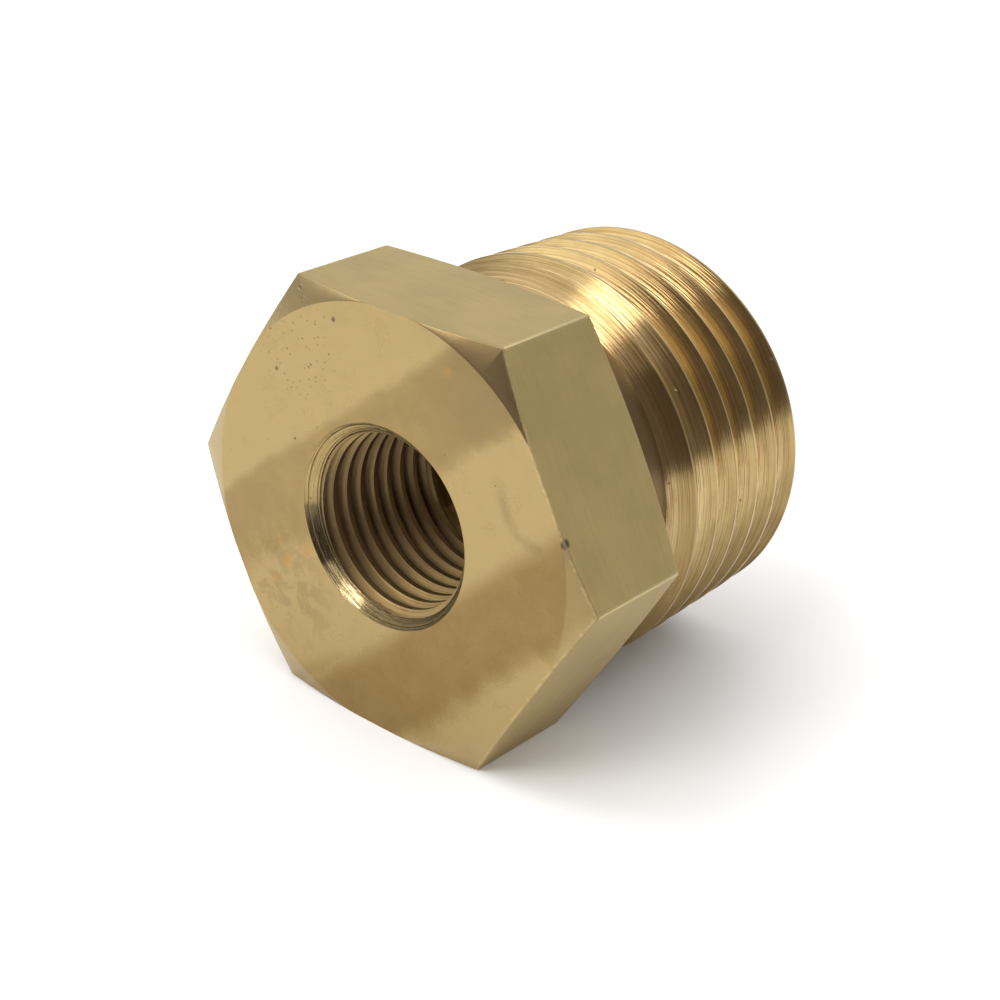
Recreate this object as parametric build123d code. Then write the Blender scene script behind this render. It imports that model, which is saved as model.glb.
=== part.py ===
from build123d import *
import os
from math import cos, pi, radians, sin, tan

# Hex reducing bushing: a tapered male pipe thread, a hexagon, and a smaller tapered
# female pipe thread down its middle, all turned from one length of hexagonal brass bar.
# It is built standing on its hexagon face, with the bore along +Z. At the end it is laid
# down, with the bore along Y, the thread end towards +Y and the origin at mid length.

# Hexagon
across_flats = 22.0
head_length = 7.05
front_circle_over_flats = 0.16
front_chamfer_angle = 17.0
rear_circle_under_flats = 0.22
rear_chamfer_angle = 14.5

# Body behind the hexagon
overall_length = 21.0
neck_diameter = 19.3
neck_length = 2.65
neck_shoulder_angle = 45.0

# Pipe thread form, shared by both threads
taper_on_diameter = 1 / 16
flank_angle = 30.0
thread_height_over_pitch = 0.8

# Male thread, half-inch pipe size, sized at its small end
male_threads_per_inch = 14
male_end_diameter = 20.716
male_crest_start = 9.04
male_fade_turns = 0.6
male_end_chamfer = 1.0

# Female thread, eighth-inch pipe size, sized at its mouth
female_threads_per_inch = 27
female_mouth_diameter = 10.242
female_depth = 9.3
female_fade_turns = 2.0
female_crest_start = 0.04

# Bore: drilled through, reamed to the thread's taper from the mouth, and countersunk
crest_share_reamed_off = 0.24
reamed_depth = 9.6
countersink_over_thread = 0.22
countersink_angle = 45.0
far_edge_break = 0.35

# How the threads are cut: points along each helix, where the cuts start, and the small
# gaps by which a cutter stays in open air
points_per_turn = 12
points_per_span = 2
male_first_turn = -0.5
female_first_turn = -1
air_gap = 0.03
neck_gap = 0.01
cutter_reach = 1.0
bar_allowance = 0.3

# Values worked out from the sizes above
male_pitch = 25.4 / male_threads_per_inch
female_pitch = 25.4 / female_threads_per_inch
taper_on_radius = taper_on_diameter / 2
flank_slope = tan(radians(flank_angle))
corner_radius = across_flats / 2 / cos(pi / 6)
neck_end = head_length + neck_length
male_height = thread_height_over_pitch * male_pitch
female_height = thread_height_over_pitch * female_pitch * (1 - crest_share_reamed_off)


def male_crest_radius(z):
    """Crest radius of the male thread, which grows from the end towards the hexagon."""
    return male_end_diameter / 2 + taper_on_radius * (overall_length - z)


def female_root_radius(z):
    """Root radius of the female thread, which shrinks from the mouth inwards."""
    return female_mouth_diameter / 2 - taper_on_radius * z


def reamed_radius(z):
    """Radius of the reamed wall, which is the female thread's crest radius."""
    return female_root_radius(z) - female_height


def turned_profile():
    """Half section of the turned blank, from the hexagon face to the thread end."""
    bar_radius = corner_radius + bar_allowance
    front_radius = (across_flats + front_circle_over_flats) / 2
    rear_radius = (across_flats - rear_circle_under_flats) / 2
    front_drop = (bar_radius - front_radius) * tan(radians(front_chamfer_angle))
    rear_drop = (bar_radius - rear_radius) * tan(radians(rear_chamfer_angle))
    neck_radius = neck_diameter / 2
    rise_per_mm = tan(radians(neck_shoulder_angle))
    shoulder_rise = male_crest_radius(neck_end) - neck_radius
    shoulder_end = neck_end + shoulder_rise / (rise_per_mm + taper_on_radius)
    chamfer_start = overall_length - male_end_chamfer
    end_radius = male_crest_radius(chamfer_start) - male_end_chamfer
    points = [
        (0, 0),
        (front_radius, 0),
        (bar_radius, front_drop),
        (bar_radius, head_length - rear_drop),
        (rear_radius, head_length),
        (neck_radius, head_length),
        (neck_radius, neck_end),
        (male_crest_radius(shoulder_end), shoulder_end),
        (male_crest_radius(chamfer_start), chamfer_start),
        (end_radius, overall_length),
        (0, overall_length),
    ]
    return Plane.XZ * make_face(Polyline(*points, close=True))


def blank():
    """Turned blank, with the bar's hexagon left on the head."""
    turned = revolve(turned_profile(), Axis.Z)
    bar = extrude(RegularPolygon(corner_radius, 6), overall_length)
    return turned & bar


def bore_profile():
    """Half section of the hole: countersink, reamed taper, drilled wall and broken far edge."""
    drill_radius = reamed_radius(reamed_depth)
    mouth_radius = (female_mouth_diameter + countersink_over_thread) / 2
    mouth_slope = tan(radians(countersink_angle))
    countersink_depth = (mouth_radius - reamed_radius(0)) / (mouth_slope - taper_on_radius)
    points = [
        (0, -cutter_reach),
        (mouth_radius + cutter_reach * mouth_slope, -cutter_reach),
        (reamed_radius(countersink_depth), countersink_depth),
        (drill_radius, reamed_depth),
        (drill_radius, overall_length - far_edge_break),
        (drill_radius + far_edge_break + cutter_reach, overall_length + cutter_reach),
        (0, overall_length + cutter_reach),
    ]
    return Plane.XZ * make_face(Polyline(*points, close=True))


def ring_point(corner, turn):
    """Point for a corner, (radius, height), at a number of turns round the bore's axis."""
    radius, height = corner
    return Vector(radius * cos(2 * pi * turn), radius * sin(2 * pi * turn), height)


def rail_edges(points):
    """Splines along a helical rail, part of a turn each, that run smoothly on from one another."""
    edges = []
    last = len(points) - 1
    for first in range(0, last, points_per_span):
        end = min(first + points_per_span, last)
        heads = [points[min(i + 1, last)] - points[max(i - 1, 0)] for i in (first, end)]
        edges.append(Edge.make_spline(points[first:end + 1], tangents=heads))
    return edges


def groove(sections):
    """Solid that cuts a helical V groove: two flanks and the side in open air.

    Each section is a turn and three corners, (radius, height): the root, then the high
    and low corners in open air.
    """
    rails = [[ring_point(corners[k], turn) for turn, corners in sections] for k in range(3)]
    edges = [rail_edges(points) for points in rails]
    faces = []
    for k in range(3):
        for edge, next_edge in zip(edges[k], edges[(k + 1) % 3]):
            faces.append(Face.make_surface_from_curves(edge, next_edge))
    for end in (0, -1):
        ring = [points[end] for points in rails]
        faces.append(Face(Wire.make_polygon(ring, close=True)))
    return Solid(Shell(faces))


def steps(first_turn, last_turn):
    """Turns from the first to about the last, at even steps."""
    count = round((last_turn - first_turn) * points_per_turn)
    return [first_turn + i / points_per_turn for i in range(count + 1)]


def eased(share):
    """Smooth rise from 0 to 1, held at each end."""
    share = min(1, max(0, share))
    return share * share * (3 - 2 * share)


def male_groove():
    """Male thread groove, from past the end to the neck, where its root lifts out."""
    sections = []
    air_half = (male_height + air_gap) * flank_slope
    first_root = male_crest_start + male_pitch / 2
    last_turn = (overall_length + male_pitch - first_root) / male_pitch
    for turn in steps(male_first_turn, last_turn):
        z = first_root + male_pitch * turn
        full_root = male_crest_radius(z) - male_height
        neck_root = neck_diameter / 2 + neck_gap
        lift = max(0, neck_root - full_root) * eased((1 - turn) / male_fade_turns + 0.5)
        sections.append((turn, [
            (full_root + lift, z),
            (male_crest_radius(z + air_half) + air_gap, z + air_half),
            (male_crest_radius(z - air_half) + air_gap, z - air_half),
        ]))
    return groove(sections)


def female_groove():
    """Female thread groove, from outside the mouth to the depth where the tap's lead ends."""
    sections = []
    air_half = (female_height + air_gap) * flank_slope
    first_root = female_crest_start + female_pitch / 2
    last_turn = (female_depth - first_root) / female_pitch
    for turn in steps(female_first_turn, last_turn):
        z = first_root + female_pitch * turn
        fade = max(0, 1 - (last_turn - turn) / female_fade_turns)
        lift = (female_height + air_gap / 2) * fade
        sections.append((turn, [
            (female_root_radius(z) - lift, z),
            (reamed_radius(z + air_half) - air_gap, z + air_half),
            (reamed_radius(z - air_half) - air_gap, z - air_half),
        ]))
    return groove(sections)


def bushing():
    """The whole bushing, lying with its bore along Y."""
    solid = blank() - revolve(bore_profile(), Axis.Z)
    solid = solid - male_groove()
    solid = solid - female_groove()
    return Pos(0, -overall_length / 2, 0) * Rot(-90, 0, 0) * solid


os.makedirs("parts", exist_ok=True)
hex_bushing = bushing()
export_step(hex_bushing, "parts/hex_bushing.step")
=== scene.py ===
# %% [markdown]
# # A brass hex bushing
# A bushing like this one is turned from a length of hexagonal brass bar. The bar's flats
# stay on the head, and everything else is cut in a lathe: the face, the chamfers, the plain
# neck, a tapered thread outside and a smaller tapered thread inside.
#
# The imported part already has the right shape, and it could simply be given a material. This
# lesson makes a finer skin for it instead, because bright metal shows every facet of a
# thread, and then gives the skin its finishes.

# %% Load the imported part
from math import cos, degrees, floor, pi, radians, sin, tan

import bmesh
import bpy
import numpy as np
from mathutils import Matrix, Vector


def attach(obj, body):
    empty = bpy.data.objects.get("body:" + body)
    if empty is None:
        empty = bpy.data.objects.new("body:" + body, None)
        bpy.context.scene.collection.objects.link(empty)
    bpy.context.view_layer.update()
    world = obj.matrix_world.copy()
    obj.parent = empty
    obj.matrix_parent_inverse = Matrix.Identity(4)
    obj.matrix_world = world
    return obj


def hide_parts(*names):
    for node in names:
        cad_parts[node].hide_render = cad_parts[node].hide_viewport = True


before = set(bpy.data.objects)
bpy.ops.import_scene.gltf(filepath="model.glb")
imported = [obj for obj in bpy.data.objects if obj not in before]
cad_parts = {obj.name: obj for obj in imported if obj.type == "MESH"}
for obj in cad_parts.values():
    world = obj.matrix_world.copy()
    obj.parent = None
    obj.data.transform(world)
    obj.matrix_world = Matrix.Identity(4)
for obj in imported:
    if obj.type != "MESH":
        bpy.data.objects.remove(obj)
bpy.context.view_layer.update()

# %% [markdown]
# ## Sizes
# All sizes are in millimetres, on the bushing standing on its hexagon face with the bore
# upwards. `lay_down` turns a point into the part's own frame in metres, where the bore runs
# along +Y and the origin is at mid length. A turned thing is easiest to describe standing,
# and one function at the end is less work than a turned formula everywhere.

# %% Sizes of the bushing
mm = 0.001
across_flats = 22.0
head_length = 7.05
overall_length = 21.0
neck_radius = 19.3 / 2
neck_end = 9.7


def lay_down(points):
    """Points on the standing bushing, in mm, as points of the lying one, in metres."""
    x, y, z = np.asarray(points, float).T
    return np.column_stack([x, z - overall_length / 2, -y]) * mm


print("head", head_length, "mm, neck to", neck_end, "mm, end at", overall_length, "mm")

# %% [markdown]
# ## Columns round the bore
# Every part of the skin has the same columns of points round the bore, so that the pieces
# meet point to point. The hexagon's six corners are rounded over a tenth of a millimetre
# only, so the columns crowd together there. One formula gives the turn of each column, and
# it is used both in Python and in the node tree of the threads.

# %% Turns of the columns
columns = 360
waves = 12 * pi
crowding = 0.92
turn = np.arange(columns + 1) / columns
turn = turn - crowding * np.sin(waves * turn) / waves
angle = 2 * pi * turn
steps = np.degrees(np.diff(angle))
print("column steps, degrees:", round(steps.min(), 3), "to", round(steps.max(), 3))

# %% [markdown]
# ## A small class for node maths
# A formula that is spread over dozens of nodes is hard to read. `Wire` stands for the output
# of a node, and adding or multiplying two wires adds the Math node that does it. Any other
# node comes from its one method `node`, which sets the node up first and then feeds it.

# %% The Wire class
class Wire:
    """An output in a node tree, with Python's operators for the maths on it."""

    def __init__(self, tree, socket=None):
        self.tree = tree
        self.socket = socket

    def node(self, kind, settings=None, feeds=None, output=0):
        """Adds a node, sets it up, feeds its sockets, and gives one of its outputs."""
        made = self.tree.nodes.new(kind)
        for name, value in (settings or {}).items():
            setattr(made, name, value)
        for name, value in (feeds or {}).items():
            if isinstance(value, Wire):
                self.tree.links.new(value.socket, made.inputs[name])
            else:
                made.inputs[name].default_value = value
        return Wire(self.tree, made.outputs[output])

    def parts(self):
        """The three parts of a vector."""
        split = self.tree.nodes.new("ShaderNodeSeparateXYZ")
        self.tree.links.new(self.socket, split.inputs[0])
        return [Wire(self.tree, part) for part in split.outputs]

    def maths(self, operation, *others):
        feeds = {i: value for i, value in enumerate((self,) + others)}
        return self.node("ShaderNodeMath", {"operation": operation}, feeds)

    def __add__(self, other): return self.maths("ADD", other)
    def __radd__(self, other): return self.maths("ADD", other)
    def __sub__(self, other): return self.maths("SUBTRACT", other)
    def __rsub__(self, other): return -self + other
    def __mul__(self, other): return self.maths("MULTIPLY", other)
    def __rmul__(self, other): return self.maths("MULTIPLY", other)
    def __truediv__(self, other): return self.maths("DIVIDE", other)
    def __neg__(self): return self.maths("MULTIPLY", -1.0)
    def __abs__(self): return self.maths("ABSOLUTE")
    def least(self, other): return self.maths("MINIMUM", other)
    def most(self, other): return self.maths("MAXIMUM", other)
    def between(self, low, high): return self.most(low).least(high)
    def floor(self): return self.maths("FLOOR")
    def sine(self): return self.maths("SINE")
    def cosine(self): return self.maths("COSINE")
    def fraction(self): return self.maths("FRACT")
    def over(self, limit): return self.maths("GREATER_THAN", limit)

    def rise(self, low, high):
        """A smooth rise from 0 where this is low to 1 where it is high, held at both ends."""
        settings = {"interpolation_type": "SMOOTHSTEP", "clamp": True}
        feeds = {"Value": self, "From Min": low, "From Max": high}
        return self.node("ShaderNodeMapRange", settings, feeds)


print("Wire is ready")

# %% [markdown]
# ## The blank under a thread
# A thread is cut into a turned blank, and that blank has three straight runs. For the male
# thread they are the shoulder, the crest cone and the end chamfer. Each run is a straight
# line, its level at height z, and the blank is the lowest of the three.
#
# The female thread is the same thing inside out, so its radii go in as negative numbers, and
# what is "outward" stays the larger number. One tree then makes both threads.

# %% Level of the blank
runs = ("Run 1", "Crest", "Run 3")
tiny = 0.0001


def line(given, run, z):
    """Level of one straight run at z along the bore."""
    return given[run + " level"] + given[run + " slope"] * z


def blank(given, z):
    """Level of the turned blank at z along the bore."""
    first, crest, third = (line(given, run, z) for run in runs)
    return first.least(crest).least(third)


print("runs of a blank:", runs)

# %% [markdown]
# ## The V of a thread
# The tool cuts a V along a helix. Its root climbs by one pitch in a turn and follows the
# taper, and where the thread fades the root lifts out to the metal beside it. Each flank
# leans by 30 degrees and stops at the first run of the blank that it meets.

# %% Root and flanks
def root(given, at_turn):
    """Place and level of the root, which lifts out where the thread fades."""
    z = given["First root"] + given["Pitch"] * at_turn
    full = line(given, "Crest", z.between(given["Start"], given["End"])) - given["Height"]
    share = at_turn.rise(given["Lift from"], given["Lift to"])
    return z, full + share * (line(given, "Lifted", z) - full).most(0.0)


def flank_length(given, z, level, direction):
    """How far along the bore a flank runs before it meets the blank."""
    half = given["Height"] * given["Flank slope"]
    rise = (line(given, "Crest", z + half * direction) - level) / half
    lengths = []
    for run in runs:
        room = line(given, run, z) - level
        slope = given[run + " slope"] * direction
        lengths.append(room.most(0.0) / (rise - slope).most(tiny))
    return lengths[0].least(lengths[1]).least(lengths[2])


def end_level(given, part_turn):
    """Level on the end plane, where the last groove runs out through it."""
    end = given["End"]
    turns = (end - given["First root"]) / given["Pitch"]
    last_z, last_level = root(given, (turns - part_turn + 0.5).floor() + part_turn)
    half = given["Height"] * given["Flank slope"]
    rise = (line(given, "Crest", last_z) - last_level).most(0.0) / half
    last_level = last_level + given["Crest slope"] * (end - last_z)
    return blank(given, end).least(last_level + abs(last_z - end) * rise)


print("the V is ready")

# %% [markdown]
# ## The threads, with Geometry Nodes
# A thread repeats one V along a helix, which is just the kind of rule that Geometry Nodes is
# good at. A Screw modifier could sweep a profile too, but it can't taper it, fade it or cut
# it off at a chamfer.
#
# The tree starts from a flat grid: its columns go round the bore, and its rows go along the
# thread, five to a pitch: the root, where the flank meets the crest, two kinks of the turned
# blank under it, and where the next flank starts. Each row climbs by one pitch in a turn, so
# the last column of a row lands on the first column of the row a pitch further.

# %% Where each point of the grid lands
rows_per_tooth = 5.0


def thread_grid(given, new):
    """A flat grid, and the number of the row and of the column at each point."""
    rows = given["Teeth"] * rows_per_tooth
    whole = {"rounding_mode": "ROUND"}
    grid = new("GeometryNodeMeshGrid", None, {
        "Size X": rows, "Size Y": given["Columns"],
        "Vertices X": new("FunctionNodeFloatToInt", whole, {0: rows + 1.0}),
        "Vertices Y": new("FunctionNodeFloatToInt", whole, {0: given["Columns"] + 1.0})})
    x, y, _ = new("GeometryNodeInputPosition").parts()
    row = (x + rows * 0.5 + 0.5).floor()
    column = (y + given["Columns"] * 0.5 + 0.5).floor()
    return grid, row, column


def pick(step, choices):
    """The choice whose place in the list is the step."""
    total = choices[0] * (1.0 - step.over(0.5))
    for i, choice in enumerate(choices[1:], 1):
        total = total + choice * (step.over(i - 0.5) - step.over(i + 0.5))
    return total


def thread_point(given, row, column):
    """The share of a turn, the place along the bore and the level of a grid point."""
    even = column / given["Columns"]
    part_turn = even - given["Crowding"] * (even * waves).sine() * (1 / waves)
    tooth = ((row + 0.5) / rows_per_tooth).floor()
    step = row - tooth * rows_per_tooth
    at_turn = tooth + given["First turn"] + part_turn

    start, end = given["Start"], given["End"]
    low_z, low_level = root(given, at_turn)
    high_z, high_level = root(given, at_turn + 1.0)
    low_level = low_level.least(blank(given, low_z.between(start, end)))
    leave = (low_z + flank_length(given, low_z, low_level, 1.0)).between(start, end)
    meet = (high_z - flank_length(given, high_z, high_level, -1.0)).between(start, end)
    kinks = [given[name].most(leave).least(meet) for name in ("Kink 1", "Kink 2")]
    stops = [leave] + kinks + [meet]

    z = pick(step, [low_z.between(start, end)] + stops)
    level = pick(step, [low_level] + [blank(given, stop) for stop in stops])
    at_end = z.over(end - tiny)
    return part_turn, z, level + at_end * (end_level(given, part_turn) - level)


print("rows to a tooth:", int(rows_per_tooth))

# %% Build the thread tree
size_names = [
    "Side", "Pitch", "First root", "First turn", "Teeth", "Height", "Flank slope", "Start",
    "End", "Run 1 level", "Run 1 slope", "Crest level", "Crest slope", "Run 3 level",
    "Run 3 slope", "Kink 1", "Kink 2", "Lifted level", "Lifted slope", "Lift from",
    "Lift to", "Columns", "Crowding", "Lay down by"]
merge_gap = 0.001 * mm


def thread_tree():
    """The node tree for a thread, with a named input for each size."""
    tree = bpy.data.node_groups.new("screw_thread", "GeometryNodeTree")
    sockets = tree.interface
    sockets.new_socket("Geometry", in_out="OUTPUT", socket_type="NodeSocketGeometry")
    for name in size_names:
        sockets.new_socket(name, in_out="INPUT", socket_type="NodeSocketFloat")
    sockets.new_socket("Finish", in_out="INPUT", socket_type="NodeSocketMaterial")
    entry = tree.nodes.new("NodeGroupInput")
    given = {name: Wire(tree, entry.outputs[name]) for name in size_names}
    new = Wire(tree).node

    grid, row, column = thread_grid(given, new)
    part_turn, z, level = thread_point(given, row, column)
    radius = level * given["Side"]
    swing = part_turn * (2 * pi)
    spot = new("ShaderNodeCombineXYZ", None, {
        "X": radius * swing.cosine() * mm,
        "Y": (z - given["Lay down by"]) * mm,
        "Z": radius * swing.sine() * -mm})
    moved = new("GeometryNodeSetPosition", None, {"Geometry": grid, "Position": spot})
    merged = new("GeometryNodeMergeByDistance", None, {"Geometry": moved, "Distance": merge_gap})
    real = new("GeometryNodeRealizeInstances", None, {"Geometry": merged})
    finish = Wire(tree, entry.outputs["Finish"])
    done = new("GeometryNodeSetMaterial", None, {"Geometry": real, "Material": finish})
    way_out = tree.nodes.new("NodeGroupOutput")
    tree.links.new(done.socket, way_out.inputs[0])
    print("thread tree:", len(tree.nodes), "nodes")
    return tree


threads = thread_tree()

# %% [markdown]
# ## Material slots
# The skin has five finishes, so it has five slots from the start. They are empty materials
# here, and each is filled with its nodes further down.

# %% Name the finishes
finishes = {name: bpy.data.materials.new(name) for name in (
    "faced_brass", "bar_flats", "turned_neck", "male_thread_brass", "bore_brass")}
slots = list(finishes)
print("finishes:", slots)

# %% [markdown]
# ## Making a thread
# A modifier holds the tree, and its inputs are set by the sockets' own identifiers. The
# finished mesh is read back once and becomes plain faces, so that the skin can be joined
# from it.

# %% Run the tree for one thread
def thread(name, finish, **sizes):
    """The mesh of a thread, from the tree's sizes with underscores in their names."""
    holder = bpy.data.objects.new(name, bpy.data.meshes.new(name))
    bpy.context.scene.collection.objects.link(holder)
    modifier = holder.modifiers.new("thread", "NODES")
    modifier.node_group = threads
    given = {key.replace("_", " "): value for key, value in sizes.items()}
    for item in threads.interface.items_tree:
        if item.in_out == "INPUT" and item.name in given:
            modifier[item.identifier] = float(given[item.name])
        if item.in_out == "INPUT" and item.name == "Finish":
            modifier[item.identifier] = finishes[finish]
    bpy.context.view_layer.update()
    ready = holder.evaluated_get(bpy.context.evaluated_depsgraph_get())
    mesh = bpy.data.meshes.new_from_object(ready)
    bpy.data.objects.remove(holder)
    print(name, len(mesh.vertices), "points", len(mesh.polygons), "faces")
    return mesh


def teeth(first_root, pitch, start, end):
    """The first turn and the number of teeth that reach past both ends."""
    first = floor((start - first_root) / pitch) - 1
    last = floor((end - first_root) / pitch) + 2
    return {"First_turn": first, "Teeth": last - first}


taper = 1 / 32
height_over_pitch = 0.8
shared = {"Flank_slope": tan(radians(30)), "Columns": columns, "Crowding": crowding,
          "Lay_down_by": overall_length / 2}
print("taper on the radius: 1 in", round(1 / taper))

# %% [markdown]
# ## The male thread
# This is the half-inch taper pipe thread, 14 to the inch. It starts at the neck's shoulder
# and runs out through the end chamfer.

# %% Male thread
male_pitch = 25.4 / 14
male_height = height_over_pitch * male_pitch
male_root = 9.04 + male_pitch / 2
male_end_radius = 20.716 / 2
male_end_chamfer = 1.0
male_crest_level = male_end_radius + taper * overall_length
chamfer_start = overall_length - male_end_chamfer
end_radius = male_crest_level - taper * chamfer_start - male_end_chamfer
shoulder_slope = tan(radians(50.5))
shoulder_level = neck_radius - shoulder_slope * neck_end
shoulder_end = (male_crest_level - shoulder_level) / (shoulder_slope + taper)
neck_gap = 0.01

male = thread(
    "male_thread", "male_thread_brass", Side=1, Pitch=male_pitch, First_root=male_root,
    Height=male_height, Start=neck_end, End=overall_length,
    Run_1_level=shoulder_level, Run_1_slope=shoulder_slope,
    Crest_level=male_crest_level, Crest_slope=-taper,
    Run_3_level=end_radius + overall_length, Run_3_slope=-1,
    Kink_1=shoulder_end, Kink_2=chamfer_start,
    Lifted_level=neck_radius + neck_gap, Lifted_slope=0, Lift_from=1.3, Lift_to=0.7,
    **teeth(male_root, male_pitch, neck_end, overall_length), **shared)

# %% [markdown]
# ## The female thread
# This is the eighth-inch taper pipe thread, 27 to the inch. The hole is reamed to the taper
# first, which takes off nearly a quarter of the crests, and the thread fades out over the
# tap's lead. Its third run lies out of reach, because it has no second chamfer.

# %% Female thread
female_pitch = 25.4 / 27
female_height = height_over_pitch * female_pitch * 0.76
female_root = 0.04 + female_pitch / 2
female_mouth_radius = 10.242 / 2
mouth_radius = 10.462 / 2
reamed_mouth = female_mouth_radius - female_height
reamed_depth = 9.6
female_last_turn = (9.3 - female_root) / female_pitch
bore_gap = 0.015
out_of_reach = 100

female = thread(
    "female_thread", "bore_brass", Side=-1, Pitch=female_pitch, First_root=female_root,
    Height=female_height, Start=0, End=reamed_depth,
    Run_1_level=-mouth_radius, Run_1_slope=1, Crest_level=-reamed_mouth, Crest_slope=taper,
    Run_3_level=out_of_reach, Run_3_slope=0,
    Kink_1=(mouth_radius - reamed_mouth) / (1 - taper), Kink_2=reamed_depth,
    Lifted_level=bore_gap - reamed_mouth, Lifted_slope=taper,
    Lift_from=female_last_turn - 2, Lift_to=female_last_turn - 0.1,
    **teeth(female_root, female_pitch, 0, reamed_depth), **shared)

# %% [markdown]
# ## The turned head and the two ends
# The rest of the skin is an outline for each column. On a hexagon the outline changes round
# the bore: the flat is nearer than the corner, and the lathe's chamfers climb over the corners
# only. A Bevel modifier could break the edges, but outlines keep the columns in line with the
# threads. Sharp corners of the outline become small curves, because no real edge is a knife.

# %% Outline of the head for every column
inner = across_flats / 2
corner_rounding = 0.12
from_corner = (turn * 6 + 0.5) % 1 - 0.5
swing = from_corner * pi / 3
flat_radius = inner / np.cos(pi / 6 - np.abs(swing))
centre = (inner - corner_rounding) / cos(pi / 6)
reach = np.arctan2(corner_rounding / 2, centre + corner_rounding * cos(pi / 6))
inside = np.maximum(0, corner_rounding ** 2 - (centre * np.sin(swing)) ** 2)
rounded = centre * np.cos(swing) + np.sqrt(inside)
hexagon = np.where(np.abs(swing) < reach, rounded, flat_radius)

front_radius = (across_flats + 0.16) / 2
rear_radius = (across_flats - 0.22) / 2
front_slope = tan(radians(17))
rear_slope = tan(radians(14.5))
face_edge = np.minimum(front_radius, hexagon)
front_height = np.maximum(0, hexagon - front_radius) * front_slope
rear_height = head_length - (hexagon - rear_radius) * rear_slope
print("front chamfer", round(front_height.max(), 3), "mm deep at the corners")
print("rear chamfer from", round(rear_height.min(), 3), "mm to", head_length, "mm")


# %% Rows of an outline
def ring(radius, height):
    """One outline point for every column, as (radius, height)."""
    return np.column_stack([radius + 0 * turn, height + 0 * turn])


def eased_corner(before, corner, after, width, steps=4):
    """Points of a small curve that replaces a corner of the outline."""
    def toward(other):
        gap = other - corner
        length = np.linalg.norm(gap, axis=1, keepdims=True)
        return corner + gap * np.minimum(0.45, width / np.maximum(length, 1e-9))
    start, end = toward(before), toward(after)
    shares = np.linspace(0, 1, steps)
    return [(1 - t) ** 2 * start + 2 * t * (1 - t) * corner + t * t * end for t in shares]


print("an eased corner has", len(eased_corner(ring(1, 0), ring(2, 0), ring(2, 1), 0.1)), "rows")

# %% Rows of the head and neck
mouth = ring(mouth_radius, 0)
face_corner = ring(face_edge, 0)
front_corner = ring(hexagon, front_height)
rear_corner = ring(hexagon, rear_height)
rear_ring = ring(rear_radius, head_length)
neck_corner = ring(neck_radius, head_length)
neck_ring = ring(neck_radius, neck_end)
head_rows = [
    ("faced_brass", [mouth, ring(mouth_radius + 0.4, 0), ring(inner - 0.5, 0)]),
    ("faced_brass", eased_corner(mouth, face_corner, front_corner, 0.03)),
    ("faced_brass", eased_corner(face_corner, front_corner, rear_corner, 0.05)),
    ("bar_flats", eased_corner(front_corner, rear_corner, rear_ring, 0.05)),
    ("turned_neck", eased_corner(rear_corner, rear_ring, neck_corner, 0.05)),
    ("turned_neck", eased_corner(rear_ring, neck_corner, neck_ring, 0.12)),
    ("turned_neck", [neck_ring])]
print("head and neck:", sum(len(rows) for _, rows in head_rows), "rows")

# %% Rows of the far end and the drilled wall
# The last groove runs out through the end face, so the face's rim is read off the thread.
end_plane = overall_length / 2 - 0.0005
points = np.array([point.co for point in male.vertices]) / mm
rim = points[points[:, 1] > end_plane]
rim_turn = np.arctan2(-rim[:, 2], rim[:, 0]) / (2 * pi)
rim_radius = np.interp(turn, rim_turn, np.hypot(rim[:, 0], rim[:, 2]), period=1)
far_radius = reamed_mouth - taper * reamed_depth
far_break = 0.35
mid_wall = 15
end_rows = [
    ("turned_neck", [ring(rim_radius, overall_length),
                     ring(far_radius + far_break, overall_length)]),
    ("bore_brass", [ring(far_radius, overall_length - far_break),
                    ring(far_radius, mid_wall), ring(far_radius, reamed_depth)])]
print("rim of the end, mm:", round(rim_radius.min(), 2), "to", round(rim_radius.max(), 2))


# %% Skin from the rows
def skin(name, groups):
    """A mesh from outline rows, whose faces take the finish of the row they lead to."""
    rows, kinds = [], []
    for finish, group in groups:
        rows += group
        kinds += [slots.index(finish)] * len(group)
    points = np.vstack([lay_down(np.column_stack([
        row[:, 0] * np.cos(angle), row[:, 0] * np.sin(angle), row[:, 1]])) for row in rows])
    wide = columns + 1
    faces, marks = [], []
    for r in range(len(rows) - 1):
        for c in range(columns):
            a = r * wide + c
            faces.append((a, a + 1, a + wide + 1, a + wide))
            marks.append(kinds[r + 1])
    mesh = bpy.data.meshes.new(name)
    mesh.from_pydata([tuple(p) for p in points], [], faces)
    for finish in slots:
        mesh.materials.append(finishes[finish])
    mesh.polygons.foreach_set("material_index", marks)
    print(name, len(mesh.vertices), "points")
    return mesh


head = skin("head", head_rows)
far_end = skin("far_end", end_rows)

# %% [markdown]
# ## One closed skin
# The four meshes share their border rings, so merging near points closes the skin. Its
# normals are then worked out again, since a closed skin has one outside. Edges that are
# really sharp are marked, and a Weighted Normal modifier lets the large faces decide the
# shading, which keeps the flats flat right up to their rounded edges.

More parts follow.
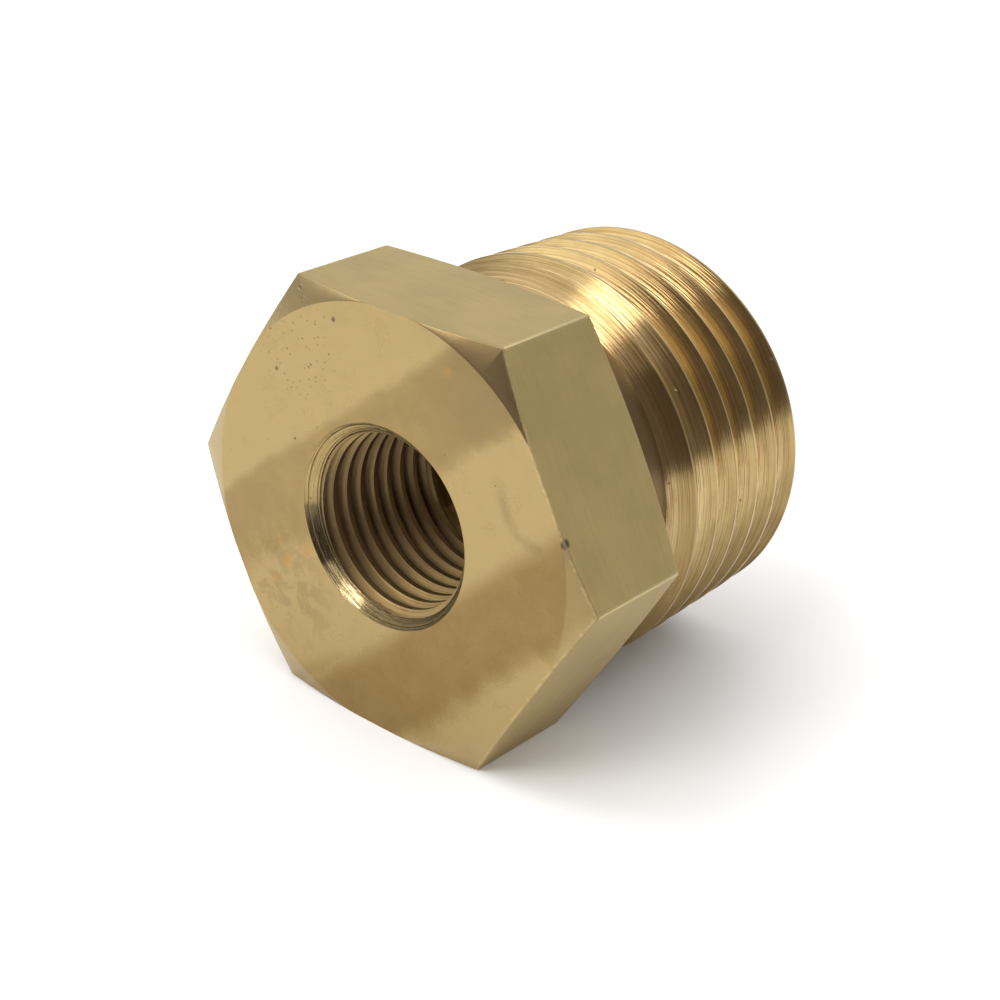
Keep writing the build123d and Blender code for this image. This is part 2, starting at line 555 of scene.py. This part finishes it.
# %% Join the four meshes
sharp_angle = 35
work = bmesh.new()
for mesh, finish in ((head, None), (far_end, None),
                     (male, "male_thread_brass"), (female, "bore_brass")):
    before = len(work.faces)
    work.from_mesh(mesh)
    if finish:
        work.faces.ensure_lookup_table()
        for face in work.faces[before:]:
            face.material_index = slots.index(finish)
bmesh.ops.remove_doubles(work, verts=work.verts, dist=merge_gap)
bmesh.ops.dissolve_degenerate(work, edges=work.edges, dist=merge_gap / 2)
bmesh.ops.recalc_face_normals(work, faces=work.faces)
for face in work.faces:
    face.smooth = True
for edge in work.edges:
    if len(edge.link_faces) == 2:
        edge.smooth = degrees(edge.calc_face_angle(0)) < sharp_angle
open_edges = [edge for edge in work.edges if len(edge.link_faces) != 2]
print("skin:", len(work.faces), "faces, open edges:", len(open_edges))
print("volume, mm3:", round(work.calc_volume() / mm ** 3, 1))
skin_mesh = bpy.data.meshes.new("bushing_skin")
work.to_mesh(skin_mesh)
work.free()
for finish in slots:
    skin_mesh.materials.append(finishes[finish])

# %% Weighted normals
bushing = bpy.data.objects.new("bushing", skin_mesh)
bpy.context.scene.collection.objects.link(bushing)
weigh = bushing.modifiers.new("weigh", "WEIGHTED_NORMAL")
weigh.mode = "FACE_AREA"
weigh.keep_sharp = True
weigh.weight = 50
bpy.context.view_layer.update()
ready = bushing.evaluated_get(bpy.context.evaluated_depsgraph_get())
weighted = bpy.data.meshes.new_from_object(ready)
bushing.modifiers.clear()
bushing.data = weighted
weighted.name = "bushing"
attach(bushing, "root")
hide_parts("hex_bushing")
print("bushing:", sum(len(f.vertices) - 2 for f in weighted.polygons), "triangles")

# %% [markdown]
# ## Shared places on the metal
# All finishes are placed in the object's own coordinates, in millimetres: `across` and `up`
# on the hexagon face, `along` the bore from the hexagon face, and the distance `out` from
# the bore's axis. A painted image could do the same, but it would need an unwrapped skin,
# and its pixels would show close up.

# %% Places and the end of every finish
def start_finish(name):
    """Opens a finish, and gives its tree and the places that its pattern is drawn in."""
    material = finishes[name]
    material.use_nodes = True
    tree = material.node_tree
    tree.nodes.clear()
    coordinates = tree.nodes.new("ShaderNodeTexCoord")
    place = Wire(tree, coordinates.outputs["Object"])
    to_mm = {0: place, "Scale": 1 / mm}
    place = place.node("ShaderNodeVectorMath", {"operation": "SCALE"}, to_mm)
    across, lengthwise, up = place.parts()
    along = lengthwise + overall_length / 2
    out = (across * across + up * up).maths("SQRT")
    return tree, place, across, up, along, out


def finish_metal(tree, colour, roughness, height, strength):
    """Metal from a colour, a roughness and a bump height in millimetres."""
    bump = colour.node("ShaderNodeBump", None, {
        "Strength": strength, "Distance": mm, "Height": height})
    shader = colour.node("ShaderNodeBsdfPrincipled", None, {
        "Base Color": colour, "Roughness": roughness, "Metallic": 1.0, "Normal": bump})
    way_out = tree.nodes.new("ShaderNodeOutputMaterial")
    tree.links.new(shader.socket, way_out.inputs["Surface"])
    print("finish with", len(tree.nodes), "nodes")


print("places are in mm from the hexagon face and the bore's axis")


# %% Patterns
def noise(place, scale, detail, rough, distortion=0.0):
    """Soft random shares between 0 and 1."""
    return place.node("ShaderNodeTexNoise", {"noise_dimensions": "3D"}, {
        "Vector": place, "Scale": scale, "Detail": detail, "Roughness": rough,
        "Distortion": distortion})


def wound_noise(x, y, across, up, out, swing, detail, rough):
    """Noise that closes on itself round the bore, where it changes by swing."""
    return x.node("ShaderNodeTexNoise", {"noise_dimensions": "4D"}, {
        "Vector": gather(x, y, across / out * swing), "W": up / out * swing,
        "Scale": 1.0, "Detail": detail, "Roughness": rough})


def stretch(place, x, y, z):
    """A place multiplied along each axis, which squeezes the pattern there."""
    return place.node("ShaderNodeVectorMath", {"operation": "MULTIPLY"}, {0: place, 1: (x, y, z)})


def gather(x, y, z):
    """A vector from three parts, of which the first is a wire."""
    return x.node("ShaderNodeCombineXYZ", None, {"X": x, "Y": y, "Z": z})


def distance(place, spot):
    """How far a place is from a spot on the part, in mm."""
    return place.node("ShaderNodeVectorMath", {"operation": "DISTANCE"}, {0: place, 1: spot}, 1)


def ball(place, spot, radius, soft):
    """1 within a radius of a spot, in mm, fading to 0 outside."""
    return 1.0 - distance(place, spot).rise(radius * (1 - soft), radius * (1 + soft))


def grains(place, scale, radius):
    """Small scattered grains, 1 in each grain's middle, on a share of the cells."""
    cells = place.node("ShaderNodeTexVoronoi", {"feature": "F1"}, {
        "Vector": place, "Scale": scale, "Randomness": 1.0})
    return 1.0 - cells.rise(radius * 0.5, radius)


def facing(across, up, out, angle):
    """1 where the skin lies at an angle round the bore, in degrees, -1 opposite."""
    return (across * cos(radians(angle)) + up * sin(radians(angle))) / out


def thin_ring(out, radius, full, faded):
    """1 on a thin ring round the bore, to full mm from its middle, and 0 from faded mm on."""
    return 1.0 - abs(out - radius).rise(full, faded)


def any_of(shares):
    """The largest of several shares."""
    total = shares[0]
    for share in shares[1:]:
        total = total.most(share)
    return total


def mix(share, first, second):
    """Two colours mixed by a share."""
    feeds = {0: share, 6: first, 7: second}
    return share.node("ShaderNodeMix", {"data_type": "RGBA"}, feeds, 2)


print("patterns are ready")

# %% Colours of the brass, its tarnish and painted light
# Some colours stand for painted light: the threads' bright hollows, the dark reflections on the
# face, neck and countersink, the countersink's glint and shade, and the bore's depth shade.
light_brass = (0.43, 0.314, 0.138, 1)
chamfer_brass = (0.40, 0.32, 0.17, 1)
edge_brass = (0.58, 0.46, 0.25, 1)
khaki = (0.50, 0.385, 0.168, 1)
dull_khaki = (0.45, 0.345, 0.148, 1)
corner_brass = (0.60, 0.48, 0.25, 1)
neck_brass = (0.44, 0.285, 0.11, 1)
thread_brass = (0.47, 0.345, 0.15, 1)
hollow_painted_light = (0.78, 0.60, 0.32, 1)
crest_brass = (0.80, 0.64, 0.38, 1)
tapped_brass = (0.44, 0.32, 0.138, 1)
tapped_hollow_light = (0.45, 0.325, 0.15, 1)
sunk_brass = (0.45, 0.33, 0.14, 1)
sunk_painted_shade = (0.14, 0.107, 0.05, 1)
sunk_glint = (0.72, 0.57, 0.30, 1)
brown_stain_and_reflection = (0.25, 0.156, 0.055, 1)
grey_stain = (0.27, 0.196, 0.09, 1)
rust_orange = (0.46, 0.25, 0.06, 1)
thread_brown = (0.25, 0.163, 0.068, 1)
depth_shade_brown = (0.17, 0.115, 0.07, 1)
neck_dark_reflection = (0.15, 0.10, 0.05, 1)
pit_brown = (0.13, 0.09, 0.05, 1)
sunk_dark_reflection = (0.09, 0.075, 0.045, 1)
soot = (0.05, 0.04, 0.03, 1)
print("light brass:", light_brass[:3], "against a brown stain:", brown_stain_and_reflection[:3])

# %% [markdown]
# ## The faced hexagon end
# A facing tool leaves this side bright, and handling stains it in places. Two brown bands run
# across it, and a third along its lower rim, with lighter metal between them. These bands are
# a painted reflection: darker things in front of the face, mirrored in it, put into its colour.
# They could be painted in an image, but each is only the space between two slanting lines, so
# three lines of maths draw it at any size. Noise added to the lines makes their edges wander.

# %% Bands of painted reflection
tree, place, across, up, along, out = start_finish("faced_brass")
face_y = -overall_length / 2
cloud = noise(place, 0.22, 2.0, 0.5)
ripple = noise(place, 0.9, 4.0, 0.6)
fine = noise(place, 3.2, 4.0, 0.65)
grain = noise(place, 11.0, 3.0, 0.6)
wobble = (cloud - 0.5) * 1.6 + (ripple - 0.5) * 0.7 + (fine - 0.5) * 0.25


def below(slope, level, soft):
    """1 below a slanting line on the face, 0 above it."""
    return 1.0 - (up - across * slope - level + wobble).rise(-soft, soft)


# Painted reflection: the three bands are brown where the face would mirror darker things in front
# of it.
upper_reflection_band = below(0.84, 7.3, 0.5) * (1.0 - below(0.8, 1.6, 0.9))
lower_reflection_band = below(0.93, -6.3, 0.9) * (1.0 - below(1.0, -13.0, 1.2))
rim_reflection_band = below(0.62, -6.6, 0.7) * (1.0 - below(0.95, -6.3, 0.6))
bands = any_of([upper_reflection_band * 0.5, lower_reflection_band * 0.8, rim_reflection_band * 0.5])
uneven = (ripple - 0.5) * 0.45 + (grain - 0.5) * 0.3
colour = mix(bands + uneven, light_brass, brown_stain_and_reflection)
print("bands: 3 between 6 lines")

# %% [markdown]
# ## Stains on the face
# The upper band is greyer towards a corner of the hexagon. Beside the foot of the bore the
# tarnish is mottled, with a few rusty specks, and a faint curved stain lies opposite. Each
# stain is a soft ball round a spot on the face, filled with a noise of its own grain.

# %% Stains
greyed = noise(place, 0.35, 3.0, 0.6).rise(0.42, 0.6)
toward_corner = ball(place, (7.5, face_y, 9.0), 5.0, 0.6)
grey_share = upper_reflection_band * any_of([greyed * 0.35, toward_corner * 0.75])
colour = mix(grey_share, colour, grey_stain)

mottled = ball(place, (-6.2, face_y, -5.4), 2.9, 0.5)
patches = noise(place, 0.8, 5.0, 0.7, 0.6)
colour = mix(mottled * patches.rise(0.48, 0.58) * 0.45, colour, grey_stain)
colour = mix(mottled * (1.0 - patches.rise(0.4, 0.48)) * 0.6, colour, light_brass)

# Each speck is given as its place across and up, and its radius.
rust_specks = (
    (-6.3, -4.2, 0.30), (-7.0, -5.4, 0.22), (-5.0, -3.1, 0.28),
    (-4.7, -2.9, 0.20), (-6.9, -3.3, 0.15), (3.6, 9.15, 0.22))
rust = any_of([ball(place, (x, face_y, z), radius, 0.7) for x, z, radius in rust_specks])
colour = mix(rust * 0.5, colour, rust_orange)

arc_radius = 2.6
from_arc = distance(place, (9.6, face_y, 4.9)) + wobble * 0.2 - arc_radius
arc_side = 1.0 - (up - across * 0.9 + 1.7).rise(-1.2, 0.8)
arc = (1.0 - abs(from_arc).rise(0.0, 0.5)) * arc_side * ripple.rise(0.3, 0.6)
colour = mix(arc * 0.55, colour, grey_stain)
print("rust specks:", len(rust_specks))

# %% [markdown]
# ## Pits and worn edges of the face
# The metal has small pits, most of them in one patch, and a knock has left a dent on one
# edge. They are too small to need faces, so they are dark grains that the bump also sinks.
# Wear shows where hands and spanners reach first: the edge over the flats is chipped bright.

# %% Pits, dent and edges
pitted = ball(place, (-5.9, face_y, 7.4), 2.6, 0.45)
pits = any_of([grains(place, 1.6, 0.14) * 0.7, grains(place, 3.1, 0.2) * 0.5]) * pitted
specks = grains(stretch(place, 1.1, 1.0, 0.9), 0.9, 0.055)
# Each large pit is given as its place across, behind the face and up, and its radius.
large_pits = ((-5.96, 0.29, 10.44, 0.13), (-7.2, 0.0, 6.02, 0.10),
              (-3.5, 0.0, 9.62, 0.12), (-5.9, 0.0, 2.72, 0.07))
holes = any_of([pits, specks * 0.6] + [
    ball(place, (x, face_y + y, z), radius, 0.3) for x, y, z, radius in large_pits])
colour = mix(holes * 0.75, colour, pit_brown)

dent_spot = (10.88, face_y + 0.08, 3.2)
dent_radius = 0.23
dent = ball(place, dent_spot, dent_radius, 0.4)
colour = mix(dent * 0.9, colour, soot)

edge = across * cos(pi / 6) + abs(up * 0.5)
worn = edge.rise(10.9, 10.97)
chips = noise(place, 2.6, 3.0, 0.7).rise(0.48, 0.54) * edge.rise(10.78, 10.9)
colour = mix(any_of([chips * 0.45, worn * 0.25]), colour, edge_brass)
chamfer = along.rise(0.01, 0.05)
colour = mix(chamfer * 0.35, colour, chamfer_brass)

# The painted reflection bands are also made a little rougher.
in_reflection_band = any_of([upper_reflection_band, lower_reflection_band])
rough = 0.2 + ripple * 0.12 + in_reflection_band * 0.05 + mottled * 0.08 + worn * 0.4
sunk_by = holes * 0.04 + dent * 0.03
finish_metal(tree, colour, rough, grain * 0.004 + ripple * 0.008 - sunk_by, 0.5)

# %% [markdown]
# ## The bar's flats
# The six flats are the skin of the bar as it came from the die: dull and a little green,
# with fine streaks. The streaks are one noise, squeezed along the bore and stretched across
# it. The corners between the flats are rubbed bright, which the distance from the bore's
# axis tells without any mask.

# %% Drawn flats
tree, place, across, up, along, out = start_finish("bar_flats")
streaks = noise(stretch(place, 0.35, 5.0, 0.35), 1.0, 3.0, 0.6)
cloud = noise(place, 0.3, 3.0, 0.55)
grain = noise(place, 9.0, 3.0, 0.65)
colour = mix(cloud.rise(0.3, 0.7), khaki, dull_khaki)
streaked = streaks.rise(0.4, 0.75) + grain.rise(0.5, 0.8)
colour = mix(streaked * 0.09, colour, brown_stain_and_reflection)
rubbed = out.rise(12.6, 12.66) + (grain - 0.5) * out.rise(12.4, 12.65) * 0.8
colour = mix(rubbed.between(0.0, 1.0) * 0.6, colour, corner_brass)
dent = ball(place, dent_spot, dent_radius, 0.4)
colour = mix(dent * 0.9, colour, soot)
rough = 0.42 + streaks * 0.1 - rubbed * 0.1
finish_metal(tree, colour, rough, streaks * 0.003 + grain * 0.008 - dent * 0.03, 0.6)

# %% [markdown]
# ## Neck, back and end
# These are cut with a sharp tool and left bright, with fine rings. Noise over the distance
# from the axis and the length alone gives perfect rings, which look drawn, so the noise also
# changes a little round the bore. A dark band on one side of the neck is a painted reflection
# of a dark part of the room.

# %% Turned neck
tree, place, across, up, along, out = start_finish("turned_neck")
cloud = noise(place, 0.3, 3.0, 0.55)
rings = wound_noise(out * 7.0, along * 7.0, across, up, out, 0.5, 3.0, 0.6)
browned = cloud.rise(0.3, 0.7) * 0.5 + rings.rise(0.45, 0.7) * 0.4
colour = mix(browned, neck_brass, thread_brown)
ragged = (cloud - 0.5) * 0.3 + (rings - 0.5) * 0.1
# Painted reflection: a dark band on the side of the neck that would mirror a dark part of the
# room.
painted_dark_reflection = (facing(across, up, out, 30) + ragged).rise(0.84, 0.95)
on_neck = along.rise(6.5, 7.0) * (1.0 - along.rise(10.0, 10.5))
colour = mix(painted_dark_reflection * on_neck * 0.85, colour, neck_dark_reflection)
finish_metal(tree, colour, 0.16 + rings * 0.14, rings * 0.006, 0.6)

# %% [markdown]
# ## The threads
# The threading tool leaves fine lines that run round with the thread. They are drawn in a
# coordinate that climbs with the helix, so they follow the flanks. That coordinate jumps by
# one where the turn starts again, so its sine and cosine are used, which don't jump. The
# crests are rubbed bright, and tarnish lies in the lines.

# %% Thread finishes
def thread_finish(places, pitch, first_root, height, level, base, hollow_light):
    """The colour of a thread and its lines, from its pitch, height and crest level."""
    place, across, up, along, out = places
    turned = (-up).maths("ARCTAN2", across) * (1 / (2 * pi))
    climb = along / pitch - turned
    depth = (along * -taper + level - out) / height
    wave, drift = (climb * (2 * pi)).cosine(), (climb * (2 * pi)).sine()
    lines = wound_noise(wave * 5.0 + out * 9.0, drift * 5.0, across, up, out, 0.9, 2.0, 0.65)
    broken = wound_noise(wave * 1.4 + out * 3.0, drift * 1.4, across, up, out, 6.0, 3.0, 0.6)
    cloud = noise(place, 0.55, 3.0, 0.6)
    specks = grains(place, 0.8, 0.06)
    colour = mix(cloud.rise(0.3, 0.75) * 0.4, base, thread_brown)
    # Painted reflection: the hollows take their own, lighter colour, standing in for light
    # mirrored between the flanks.
    colour = mix(depth.rise(0.15, 0.7), colour, hollow_light)
    lined = lines.rise(0.46, 0.58) * 0.55 + broken.rise(0.55, 0.7) * 0.3
    colour = mix(lined, colour, thread_brown)
    from_crest = (climb - first_root / pitch).fraction() - 0.5
    rubbed = 1.0 - abs(from_crest).rise(0.015, 0.04)
    colour = mix(rubbed * 0.2, colour, crest_brass)
    return mix(specks * 0.6, colour, soot), lines, broken, specks


tree, *places = start_finish("male_thread_brass")
along = places[3]
colour, lines, broken, specks = thread_finish(
    places, male_pitch, male_root, male_height, male_crest_level, thread_brass, hollow_painted_light)
# Painted shade: the thread is browner towards the neck, which dulls the bright reflection on its
# shoulder.
near_neck_shade = 1.0 - along.rise(10.2, 12.2)
colour = mix(near_neck_shade * 0.6, colour, thread_brown)
rough = 0.1 + lines * 0.1 + broken.rise(0.55, 0.75) * 0.08
finish_metal(tree, colour, rough, lines * 0.022 + broken * 0.006 - specks * 0.02, 0.7)

# %% [markdown]
# ## The bore
# The bore has the same kind of lines, but it is duller, because a tap cuts less cleanly than
# a lathe tool. On one side its colour is painted darker towards the depth: painted shade of the
# deep hole, with a painted reflection of a dark thing in front of it. Its height goes in as a
# negative number, since its crests are nearer to the axis than its roots.

# %% Bore
tree, *places = start_finish("bore_brass")
place, across, up, along, out = places
colour, lines, broken, specks = thread_finish(
    places, female_pitch, female_root, -female_height, reamed_mouth,
    tapped_brass, tapped_hollow_light)
patchy = noise(gather(out * 2.0, broken * 2.0, lines * 3.0), 1.0, 2.0, 0.6)
# Painted shade and painted reflection: darker on one side of the bore and further in.
shaded = facing(across, up, out, 197) + (patchy - 0.5) * 1.2 / out
deep = (shaded + along * 0.07).rise(0.65, 0.95)
colour = mix(deep * 0.45, colour, depth_shade_brown)
print("bore colour so far:", len(tree.nodes), "nodes")

# %% [markdown]
# ## The countersink
# The countersink is a bright cone with fine rings and two darker steps. It shares the bore's
# finish, and the distance from the axis tells where it is. Its colour carries painted light:
# lighter towards the top and painted shade at the bottom, a painted glint low on the left, and
# a painted dark reflection on the left.

# %% Countersink
sunk = out.rise(4.62, 4.7) * (1.0 - along.rise(0.55, 0.7))
ringed = noise(gather(out * 3.5, 0.0, 0.0), 1.0, 2.0, 0.6)
dark_steps = any_of([thin_ring(out, 5.06, 0.015, 0.04), thin_ring(out, 4.74, 0.01, 0.03)])
# Painted light and shade: lighter towards the top, darker at the bottom.
lit = mix((up + patchy * 2.0).rise(-0.6, 1.4), sunk_painted_shade, sunk_brass)
# Painted glint, low on the left.
painted_glint_spot = (facing(across, up, out, 238) + (patchy - 0.5) * 0.1).rise(0.95, 0.98)
lit = mix(painted_glint_spot * patchy.rise(0.35, 0.55), lit, sunk_glint)
# Painted reflection of a dark thing, on the left.
painted_dark_reflection = (facing(across, up, out, 204) + (patchy - 0.5) * 0.04).rise(0.945, 0.965)
lit = mix(painted_dark_reflection * 0.8, lit, sunk_dark_reflection)
colour = mix(sunk * 0.9, colour, lit)
colour = mix(sunk * dark_steps * 0.6, colour, thread_brown)
rough = 0.42 + lines * 0.12 - sunk * 0.3
raised = ringed * 0.03 + patchy * 0.06 + (1.0 - dark_steps) * 0.03
finish_metal(tree, colour, rough, lines * 0.01 + sunk * raised - specks * 0.02, 0.7)

# %% [markdown]
# ## Floor
# The floor is white paper, which keeps the bushing's shadow. One plane is enough. Its near
# edge lies just behind the camera, and beyond it the metal mirrors the room.

# %% Paper
bpy.ops.mesh.primitive_plane_add(size=1.0, location=(0, 0, -inner * mm))
paper = bpy.context.object
paper.name = "paper"
near_edge = -0.086
for corner in paper.data.vertices:
    if corner.co.y < 0:
        corner.co.y = near_edge
material = bpy.data.materials.new("white_paper")
material.use_nodes = True
tree = material.node_tree
tree.nodes.clear()
matt = Wire(tree).node("ShaderNodeBsdfDiffuse", None, {"Color": (0.82, 0.82, 0.82, 1)})
way_out = tree.nodes.new("ShaderNodeOutputMaterial")
tree.links.new(matt.socket, way_out.inputs["Surface"])
paper.data.materials.append(material)
print("paper from y =", near_edge, "m to 0.5 m")

# %% [markdown]
# ## Sky
# Bright metal shows nothing but what stands around it, so the room matters as much as the
# brass. A panorama of a real room could light it, but a few soft patches on a white sphere
# are enough and can be moved at will: a dim side, a dark side, a horizon and three lights.
# The camera itself sees plain white.

# %% Directions in the room
world = bpy.data.worlds.new("soft_room")
bpy.context.scene.world = world
world.use_nodes = True
tree = world.node_tree
tree.nodes.clear()
coordinates = tree.nodes.new("ShaderNodeTexCoord")
direction = Wire(tree, coordinates.outputs["Generated"])


def aligned(aim):
    """The cosine of the angle between the direction looked in and an aim."""
    feeds = {0: direction, 1: aim}
    return direction.node("ShaderNodeVectorMath", {"operation": "DOT_PRODUCT"}, feeds, 1)


def toward(x, y, z, wide, narrow):
    """1 within a narrow cone round a direction, fading to 0 at a wide one, in degrees."""
    aim = tuple(Vector((x, y, z)).normalized())
    return aligned(aim).rise(cos(radians(wide)), cos(radians(narrow)))


height = aligned((0, 0, 1))
dim_side = toward(0.75, 0.6, 0.2, 55, 15)
horizon = 1.0 - abs(height).rise(0.05, 0.25)
dark_side = any_of([toward(0.1, -0.97, 0.1, 44, 30), toward(0.66, -0.72, 0.2, 32, 22)])
left_light = toward(-0.57, -0.68, 0.46, 26, 16)
front_light = toward(-0.04, -0.62, 0.78, 15, 10)
overhead_light = toward(0.2, 0.2, 0.95, 40, 25)
print("room: 3 dim parts and 3 lights")

# %% Brightness of the room
def toned(level, share, other):
    """A brightness that moves to another one by a share."""
    return level + share * (other - level)


room = 1.0 - height.rise(-1.0, 0.3) * 0.05
for part, brightness in ((dim_side, 0.46), (horizon, 0.5), (dark_side, 0.2),
                         (left_light, 2.0), (front_light, 6.0), (overhead_light, 1.8)):
    room = toned(room, part, brightness)
white = (1, 1, 1, 1)
warm = (1, 0.84, 0.78, 1)
rays = tree.nodes.new("ShaderNodeLightPath")
seen = Wire(tree, rays.outputs["Is Camera Ray"]).most(
    Wire(tree, rays.outputs["Is Transmission Ray"]))
backdrop = direction.node("ShaderNodeBackground", None, {
    "Color": mix(seen, mix(dark_side, white, warm), white),
    "Strength": toned(room, seen, 1.0)})
way_out = tree.nodes.new("ShaderNodeOutputWorld")
tree.links.new(backdrop.socket, way_out.inputs["Surface"])
print("room:", len(tree.nodes), "nodes")

# %% [markdown]
# ## Lamp
# One soft lamp gives the shadow its direction. The metal doesn't mirror it, since the lights
# of the room are already there to be mirrored.

# %% Lamp
lamp = bpy.data.lights.new("window", "AREA")
lamp.shape = "RECTANGLE"
lamp.size = 0.22
lamp.size_y = 0.22
lamp.energy = 0.65
window = bpy.data.objects.new("window", lamp)
bpy.context.scene.collection.objects.link(window)
window.visible_glossy = False
window.location = (-0.2, -0.1, 0.36)
window.rotation_euler = (-window.location).to_track_quat("-Z", "Y").to_euler()
print("lamp:", round(lamp.energy, 2), "W")

# %% [markdown]
# ## Camera
# The camera stands close, on the side of the hexagon face and a little above, with a long
# lens, so that the head doesn't look larger than the thread behind it.

# %% Camera
lens = bpy.data.cameras.new("camera")
lens.sensor_fit = "HORIZONTAL"
lens.sensor_width = 36.0
lens.lens = 74.685
lens.clip_start = 0.005
camera = bpy.data.objects.new("camera", lens)
bpy.context.scene.collection.objects.link(camera)
camera.location = (0.059256, -0.07582, 0.044885)
camera.rotation_euler = (radians(63.913), radians(-3.229), radians(40.199))
bpy.context.scene.camera = camera
bpy.context.scene.view_settings.view_transform = "Standard"
print("camera", round(camera.location.length / mm), "mm from the part's middle")
